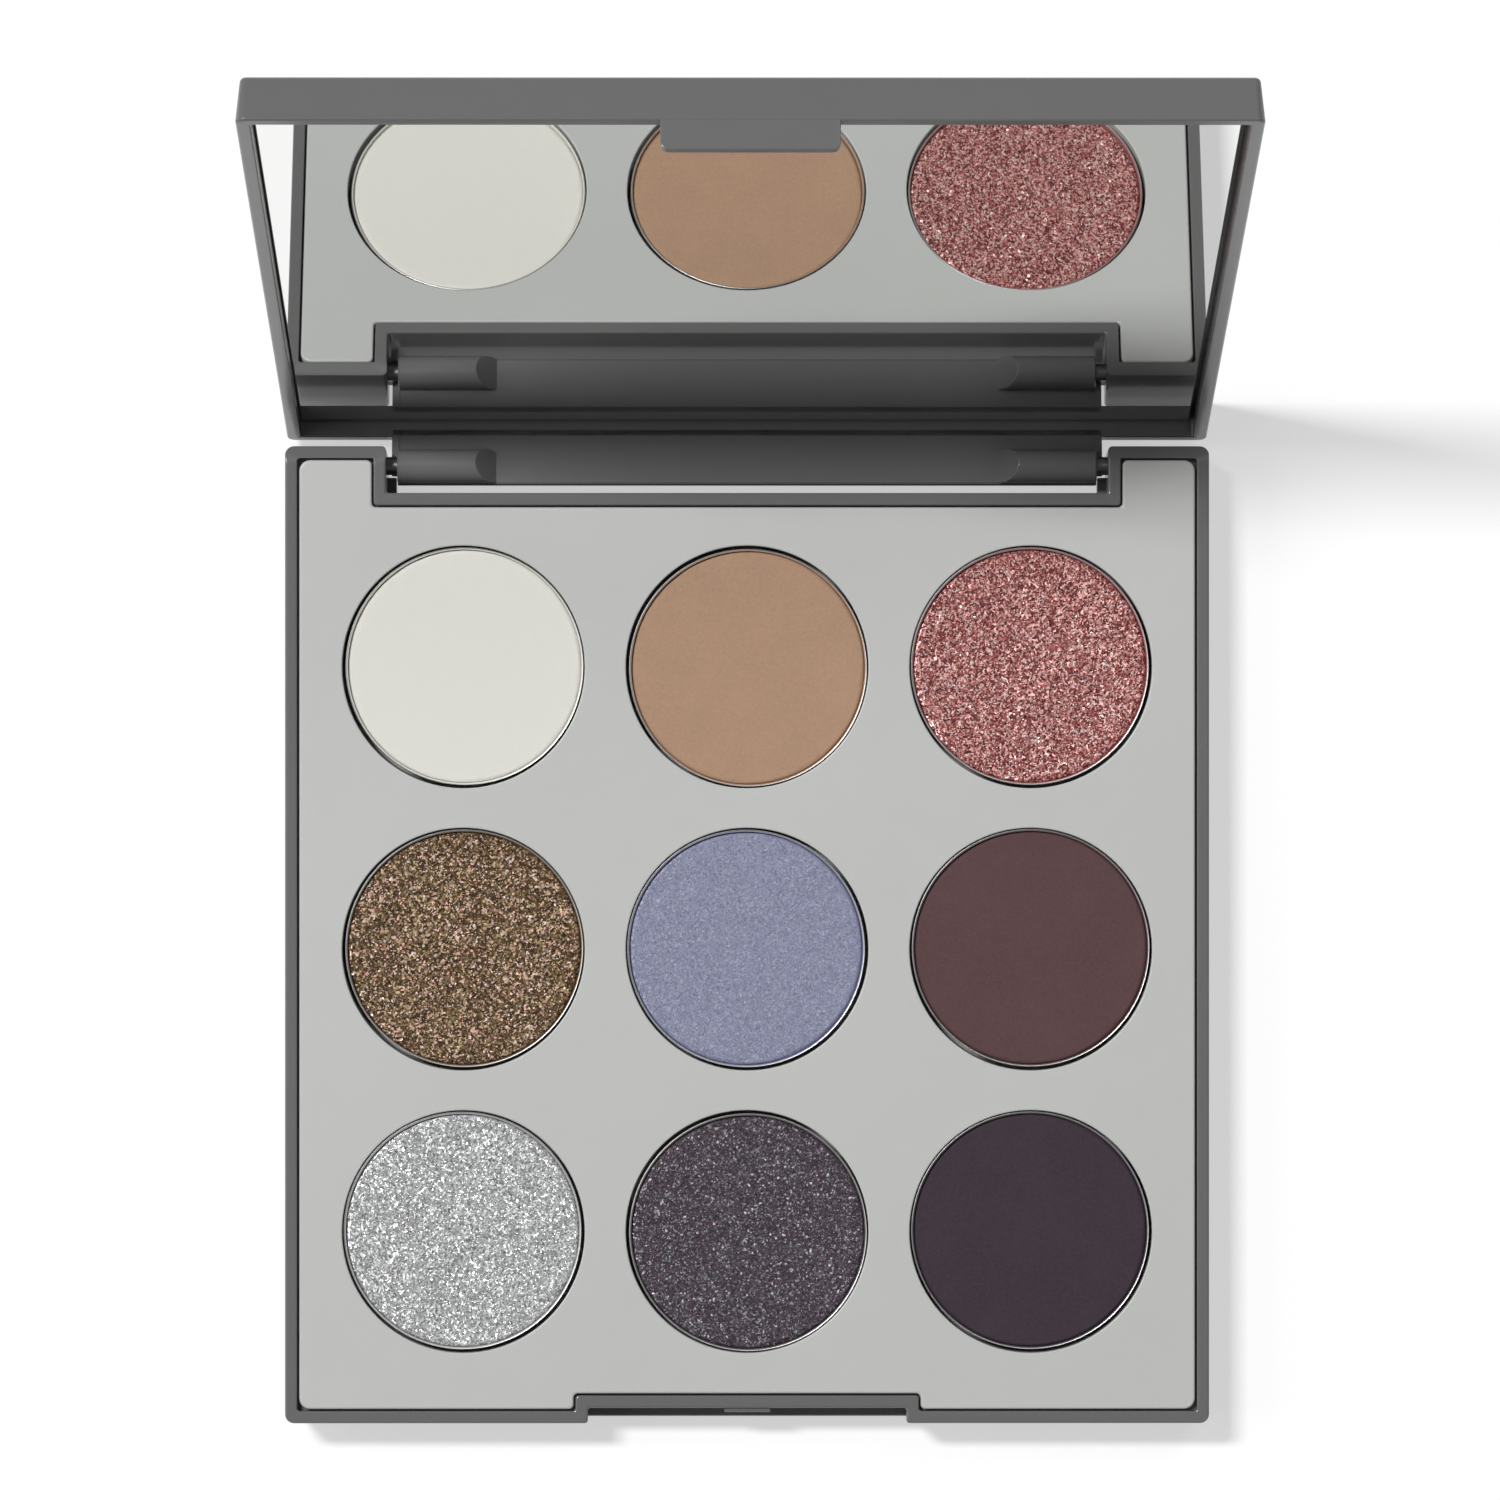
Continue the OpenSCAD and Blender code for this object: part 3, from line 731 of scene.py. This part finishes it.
open_turn = np.radians(hinge["range_deg"][1])
lid_gap = 0.1
lid_z = rim_z + lid_gap
lid_h, lid_wall = 4.75, 1.45
lid_top = lid_z + lid_h
mirror_drop, mirror_t, tape_t = 1.8, 1.2, 0.15
mirror_z = lid_z + mirror_drop
panel_z = mirror_z + mirror_t + tape_t


def opened(points):
    """Turns shut points back about the hinge: y and z swing by the open angle about X."""
    points = np.array(points, float)
    y, z = points[..., 1] - axis_y, points[..., 2] - axis_z
    c, s = np.cos(open_turn), -np.sin(open_turn)
    points[..., 1] = axis_y + y * c - z * s
    points[..., 2] = axis_z + y * s + z * c
    return points


def frame_rings(inset, z):
    """Rings of the lid's rectangular plan, one for each inset and height.

    The corners' radius is outer_r less the inset, but at least least_r.
    """
    outer_r, least_r = 1.0, 0.3
    inset, z = (np.asarray(v, float)[:, None] for v in np.broadcast_arrays(inset, z))
    x0, y0 = half_w - inset, half_d - inset
    at = np.stack([np.concatenate([-x0, x0, x0, -x0], 1),
                   np.concatenate([-y0, -y0, y0, y0], 1)], axis=-1)
    radii = np.broadcast_to(np.maximum(outer_r - inset, least_r), at.shape[:2])
    ring = rounded(at, radii)
    return np.concatenate([ring, np.broadcast_to(z[..., None], (*ring.shape[:2], 1))], -1)


lid = Surface()
top_r = 0.5
wall_top = lid_top - top_r + top_r * sin
lid_inset = np.concatenate([
    [lid_wall], lid_wall - inner_r + inner_r * cos,
    rim_r * (1 - sin), (wall_top - lid_z) * draft + top_r * (1 - cos),
])
lid_height = np.concatenate([
    [panel_z], lid_z + inner_r - inner_r * sin,
    lid_z + rim_r - rim_r * cos, wall_top,
])
lid.rings(opened(frame_rings(lid_inset, lid_height)))

# the hinge web, its lower edge rounded, and the knuckles with their sloped inner ends
knuckle_r, knuckle_out, knuckle_in, slope = 1.85, notch_x - 1.15, notch_x - 11.95, 2.25
knuckle_edge, slope_edge, slope_back, web_lap, around = 0.14, 0.08, 0.07, 0.3, 64
back, web_x, web_low, web_cut, low_r = half_d - axis_y, notch_x - 0.48, -1.85, 1.15, 0.35
web_inner, web_outer = back - lid_wall, back - (axis_down - web_low) * draft
rim_up = lid_z - axis_z              # height of the lid's rim over the hinge's axis
web = np.array([
    *zip(web_inner + low_r * (1 - cos), web_low + low_r * (1 - sin)),
    *zip(web_outer - low_r * (1 - sin[::-1]), web_low + low_r * (1 - cos[::-1])),
    (back, rim_up - 0.1), (back - 0.02, rim_up + 0.3), (back - 0.3, rim_up + 0.8),
    (web_inner, rim_up + 0.8),
])
lid.rings(opened(bar(web + (axis_y, axis_z), -knuckle_out, knuckle_out, edge=0.1)))
clipped = np.column_stack([web[:, 0], np.maximum(web[:, 1], web_low + web_cut)])
turn = np.arange(around) * 2 * np.pi / around
for side in (-1, 1):
    ends = sorted((side * (knuckle_out - web_lap), side * web_x))
    lid.rings(opened(bar(clipped + (axis_y, axis_z), *ends, edge=0.08)))
for side in (-1, 1):
    r = np.array([knuckle_r - knuckle_edge, knuckle_r, knuckle_r,
                  knuckle_r - slope_edge])[:, None]
    y, z = r * np.cos(turn), r * np.sin(turn)
    cut = knuckle_in + slope * (web_inner - y[2:]) / (web_inner + knuckle_r)
    end = np.full(around, knuckle_out)
    x = np.stack([end, end - knuckle_edge, cut[0] + slope_back, cut[1]])
    lid.rings(opened(np.stack([side * x, axis_y + y, axis_z + z], axis=-1)))

# the front tab, an upright plate with rounded lower corners
tab_w, tab_len, tab_t, tab_r, tab_edge = 17.7, 3.0, 1.0, 0.8, 0.16
tab_root, root_r, tab_back = 0.5, 0.2, 0.05     # how far it runs into the rim, and set back
inset = np.concatenate([tab_edge * (1 - sin), tab_edge * (1 - cos)])[:, None]
depth = np.concatenate([tab_edge * (1 - cos), tab_t - tab_edge + tab_edge * sin])[:, None]
one = np.ones_like(inset)
tab_x = tab_w / 2 - inset
tab_low, tab_up = lid_z - tab_len + inset, (lid_z + tab_root) * one
at = np.stack([np.concatenate([-tab_x, tab_x, tab_x, -tab_x], 1),
               np.concatenate([tab_low, tab_low, tab_up, tab_up], 1)], axis=-1)
radii = np.concatenate([tab_r - inset, tab_r - inset, root_r * one, root_r * one], 1)
ring = rounded(at, radii)
tab_y = np.broadcast_to(-half_d + tab_back + depth[..., None], (*ring.shape[:2], 1))
lid.rings(opened(np.concatenate([ring[..., :1], tab_y, ring[..., 1:]], -1)))
lid.piece("lid_moulding", "lid", "shell_plastic", ["lid_shell"], [shell_finish])

# ---------------------------------------------------------------------------------------
# Mirror
# A sheet of float glass silvered on its back, cut a little smaller than the lid's recess
# and stuck in over to the left, with its edges ground to a fine arris. Three strips of
# double-sided tape hold it.

glass_face = Finish("silvered_glass", Metallic=1.0, Roughness=0.012)
haze = glass_face.noise(30, detail=3)
glass_face.set(Base_Color=glass_face.blend(haze, (0.885, 0.893, 0.880),
                                           (0.900, 0.907, 0.895)))
glass_edge = Finish("ground_glass_edge", Roughness=0.35, IOR=1.5)
glass_edge.set(Base_Color=glass_edge.blend(glass_edge.noise(0.6), (0.20, 0.27, 0.25),
                                           (0.34, 0.42, 0.40)))
mirror_gap, mirror_aside, arris, face_border = 0.5, 0.4, 0.14, 0.01
mirror_inset = lid_wall + mirror_gap


def glass_rings(inset, z):
    """Rings of the glass, whose left edge lies further out than the rest by mirror_aside."""
    rings = frame_rings(inset, z)
    rings[..., 0] -= mirror_aside * (rings[..., 0] < 0)
    return opened(rings)


mirror = Surface()
face_inset = mirror_inset + arris
mirror.rings(glass_rings([face_inset + face_border, face_inset], [mirror_z] * 2),
             last_cap=False)
mirror.rings(glass_rings(
    [face_inset, mirror_inset, mirror_inset, face_inset],
    [mirror_z, mirror_z + arris, mirror_z + mirror_t - arris, mirror_z + mirror_t],
), first_cap=False, slot=1)
mirror.piece("mirror_glass", "lid", "mirror", ["mirror"],
             [glass_face.material, glass_edge.material], crease=20)


def coat(node, finish):
    """Gives a CAD solid that is seen as it is the finish of the real piece."""
    finishes = frame["nodes"][node].data.materials
    finishes.clear()
    finishes.append(finish.material)


tape_finish = Finish("double_sided_tape", Roughness=0.7)
tape_finish.set(Base_Color=tape_finish.blend(tape_finish.noise(0.8, detail=4),
                                             (0.62, 0.60, 0.54), (0.75, 0.73, 0.67)))
coat("mirror_tape", tape_finish)

# ---------------------------------------------------------------------------------------
# Hinge pins
# Two cut lengths of 2 mm steel wire with broken edges, driven into the knuckles so that
# their outer halves turn in the shell.

steel_finish = Finish("ground_steel_wire", Metallic=1.0)
scratch = steel_finish.noise(0.25, detail=4, rough=0.7)
steel_finish.set(
    Base_Color=steel_finish.blend(scratch, (0.16, 0.16, 0.165), (0.30, 0.30, 0.305)),
    Roughness=0.24 + scratch * 0.2,
)
broken, around = 0.15, 48
turn = np.arange(around) * 2 * np.pi / around
for side in ("left", "right"):
    low, high = (np.array(corner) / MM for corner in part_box("hinge_pin_" + side))
    pin_r = (high[2] - low[2]) / 2
    x = np.array([low[0], low[0] + broken, high[0] - broken, high[0]])[:, None]
    r = np.array([pin_r - broken, pin_r, pin_r, pin_r - broken])[:, None]
    pin = Surface()
    pin.rings(np.stack([np.broadcast_to(x, (len(x), around)), axis_y + r * np.cos(turn),
                        axis_z + r * np.sin(turn)], axis=-1))
    pin.piece(f"hinge_pin_{side}_wire", "lid", "pin_steel", ["hinge_pin_" + side],
              [steel_finish.material])

# ---------------------------------------------------------------------------------------
# Glue dots and label
# A dot of hot glue holds each pan in its well. The label under the shell is coated paper,
# left blank.

glue_finish = Finish("hot_glue", Roughness=0.3, IOR=1.48)
glue_finish.set(Base_Color=glue_finish.blend(glue_finish.noise(1.5), (0.66, 0.62, 0.50),
                                             (0.80, 0.77, 0.66)))
coat("glue_dots", glue_finish)

label_finish = Finish("coated_paper", Roughness=0.55)
fibre = label_finish.noise(0.3, detail=5, rough=0.7)
label_finish.set(Base_Color=label_finish.blend(fibre, (0.76, 0.76, 0.74), (0.86, 0.86, 0.84)))
label_finish.bump(fibre, 0.004)
coat("bottom_label", label_finish)

# ---------------------------------------------------------------------------------------
# Stage
# A pale table that glows a little of itself, under a soft lamp behind and to the left,
# three dim lamps and a dim even sky, and a long lens looking straight down on the palette.

view_settings = bpy.context.scene.view_settings
view_settings.view_transform = "Standard"
view_settings.look = "None"

reach, sky = 3.0, 0.12
floor_mesh = bpy.data.meshes.new("table_top")
floor_mesh.from_pydata([(-reach, -reach, 0), (reach, -reach, 0), (reach, reach, 0),
                        (-reach, reach, 0)], [], [(0, 1, 2, 3)])
table_top = bpy.data.objects.new("table_top", floor_mesh)
bpy.context.scene.collection.objects.link(table_top)
floor_finish = Finish("light_table", Roughness=0.9, Specular_IOR_Level=0.1,
                      Emission_Strength=0.51)
floor_finish.set(Base_Color=floor_finish.blend(floor_finish.noise(900), (0.515, 0.515, 0.515),
                                               (0.525, 0.525, 0.525)),
                 Emission_Color=(1, 1, 1))
floor_mesh.materials.append(floor_finish.material)

world = bpy.data.worlds.new("studio")
bpy.context.scene.world = world
world.use_nodes = True
world.node_tree.nodes["Background"].inputs["Color"].default_value = (1, 1, 1, 1)
world.node_tree.nodes["Background"].inputs["Strength"].default_value = sky


def aimed(name, data, place, aim):
    """Places a lamp or camera, in metres, facing a point, its own Y along the table's Y."""
    held = bpy.data.objects.new(name, data)
    held.location = place
    back = (Vector(place) - Vector(aim)).normalized()
    across = Vector((0, 1, 0)).cross(back).normalized()
    held.rotation_mode = "QUATERNION"
    turn = Matrix((across, back.cross(across), back)).transposed()
    held.rotation_quaternion = turn.to_quaternion()
    bpy.context.scene.collection.objects.link(held)
    return held


def soft_box(name, slope, distance, size, share):
    """A rectangular lamp in the direction (slope x, slope y, 1) from the palette.

    share is the brightness it alone gives a white card that lies on the table. A lamp of
    P watts gives P cos(tilt) / (pi d)^2.
    """
    way = Vector((*slope, 1)).normalized()
    lamp = bpy.data.lights.new(name, "AREA")
    lamp.shape, lamp.size, lamp.size_y = "RECTANGLE", *size
    lamp.energy = share * (np.pi * distance) ** 2 / way.z
    aimed(name, lamp, way * distance, (0, 0, 0))


soft_box("key_back_left", (-0.42, 0.335), 3.0, (0.64, 0.26), 0.69)
soft_box("back_right", (0.40, 0.60), 1.5, (0.5, 0.3), 0.07)
soft_box("left", (-1.2, 0.1), 1.4, (0.6, 0.8), 0.11)
soft_box("front_right", (0.7, -0.7), 1.4, (0.6, 0.6), 0.04)

camera_data = bpy.data.cameras.new("camera")
camera_data.sensor_width = 36
camera_data.lens = 205.1
camera_data.clip_start, camera_data.clip_end = 0.05, 20
bpy.context.scene.camera = aimed("camera", camera_data, (-0.00316, 0.0204, 0.9419),
                                 (0.00031, 0.02017, rim_z * MM))
